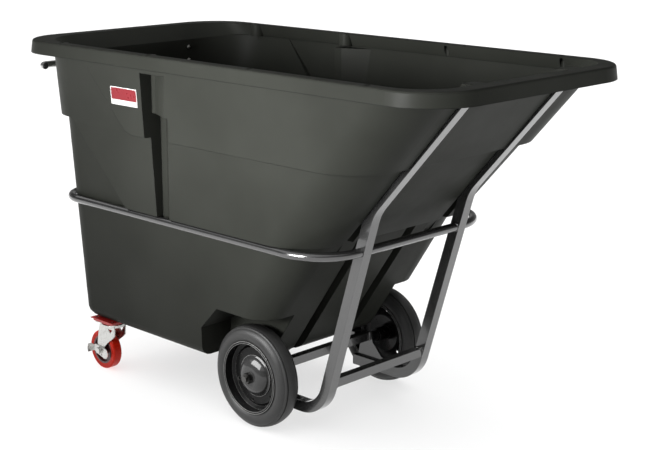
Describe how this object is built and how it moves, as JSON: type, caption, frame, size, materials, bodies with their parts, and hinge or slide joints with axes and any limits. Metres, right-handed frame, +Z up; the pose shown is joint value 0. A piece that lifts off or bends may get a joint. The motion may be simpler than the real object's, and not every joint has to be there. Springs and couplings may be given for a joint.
{
  "type": "tilt truck",
  "caption": "Wheeled dump hopper: open moulded tub with a sloped dumping end on a tubular steel frame with fixed wheels and locking swivel casters.",
  "frame": {"origin": "middle of the bounding box, on the floor", "axes": "+X towards the sloped dumping end, +Y across the truck, +Z up"},
  "size_m": [1.7378, 0.8622, 1.0687],
  "materials": {
    "hopper_plastic": "moulded polyethylene, dark olive grey, fine texture",
    "label": null,
    "frame_steel": "black powder coat, satin gloss",
    "handle_steel": "light grey powder coat",
    "black_plastic": "black moulded plastic",
    "zinc": "bright zinc plate",
    "black_bolt": "black finished steel nut",
    "axle_steel": "turned steel",
    "tyre": "grey rubber",
    "wheel_paint": "black gloss enamel on pressed steel",
    "hub_cap": "black gloss enamel",
    "caster_red_plate": "red enamel on steel",
    "red_tread": "red polyurethane",
    "caster_core": "dark red moulded polyolefin core"
  },
  "bodies": {
    "truck": {"tub": "hopper_plastic", "tub_label": "label", "rail_rear_loop": "frame_steel", "rail_front_bar": "frame_steel", "leg_end_plugs": "black_plastic", "leg_bolts": "zinc", "lower_crossbar": "frame_steel", "axle_tube": "frame_steel", "axle_shaft": "axle_steel", "axle_gussets": "frame_steel", "axle_collars": "axle_steel", "axle_nuts": "black_bolt", "base_rails": "frame_steel", "base_cross_tube": "frame_steel", "caster_base_plates": "caster_red_plate", "caster_bolts": "zinc", "handle_bar": "handle_steel", "handle_plugs": "black_plastic", "handle_brackets": "frame_steel", "handle_bolts": "zinc", "near_leg": "frame_steel", "near_caster_plate": "caster_red_plate", "near_caster_kingpin": "zinc", "far_leg": "frame_steel", "far_caster_plate": "caster_red_plate", "far_caster_kingpin": "zinc"},
    "near_wheel": {"near_tyre": "tyre", "near_wheel_disc": "wheel_paint", "near_wheel_hub": "wheel_paint", "near_wheel_bearing": "axle_steel", "near_hub_cap": "hub_cap"},
    "near_caster": {"near_caster_fork": "zinc", "near_caster_axle": "zinc"},
    "near_caster_wheel": {"near_caster_tread": "red_tread", "near_caster_core": "caster_core", "near_caster_sleeve": "axle_steel"},
    "near_brake": {"near_brake_pedal": "zinc"},
    "far_wheel": {"far_tyre": "tyre", "far_wheel_disc": "wheel_paint", "far_wheel_hub": "wheel_paint", "far_wheel_bearing": "axle_steel", "far_hub_cap": "hub_cap"},
    "far_caster": {"far_caster_fork": "zinc", "far_caster_axle": "zinc"},
    "far_caster_wheel": {"far_caster_tread": "red_tread", "far_caster_core": "caster_core", "far_caster_sleeve": "axle_steel"},
    "far_brake": {"far_brake_pedal": "zinc"}
  },
  "joints": [
    {"name": "near_wheel_spin", "type": "hinge", "parent": "truck", "child": "near_wheel", "pos_m": [0.0808, -0.2715, 0.1524], "axis": [0, 1, 0], "continuous": true},
    {"name": "near_caster_swivel", "type": "hinge", "parent": "truck", "child": "near_caster", "pos_m": [-0.59, -0.282, 0.165], "axis": [0, 0, 1], "continuous": true},
    {"name": "near_caster_spin", "type": "hinge", "parent": "near_caster", "child": "near_caster_wheel", "pos_m": [-0.634, -0.282, 0.0635], "axis": [0, 1, 0], "continuous": true},
    {"name": "near_brake_tilt", "type": "hinge", "parent": "near_caster", "child": "near_brake", "pos_m": [-0.634, -0.282, 0.0635], "axis": [0, -1, 0], "range_deg": [0, 15]},
    {"name": "far_wheel_spin", "type": "hinge", "parent": "truck", "child": "far_wheel", "pos_m": [0.0808, 0.2715, 0.1524], "axis": [0, 1, 0], "continuous": true},
    {"name": "far_caster_swivel", "type": "hinge", "parent": "truck", "child": "far_caster", "pos_m": [-0.59, 0.282, 0.165], "axis": [0, 0, 1], "continuous": true},
    {"name": "far_caster_spin", "type": "hinge", "parent": "far_caster", "child": "far_caster_wheel", "pos_m": [-0.634, 0.282, 0.0635], "axis": [0, 1, 0], "continuous": true},
    {"name": "far_brake_tilt", "type": "hinge", "parent": "far_caster", "child": "far_brake", "pos_m": [-0.634, 0.282, 0.0635], "axis": [0, -1, 0], "range_deg": [0, 15]}
  ]
}
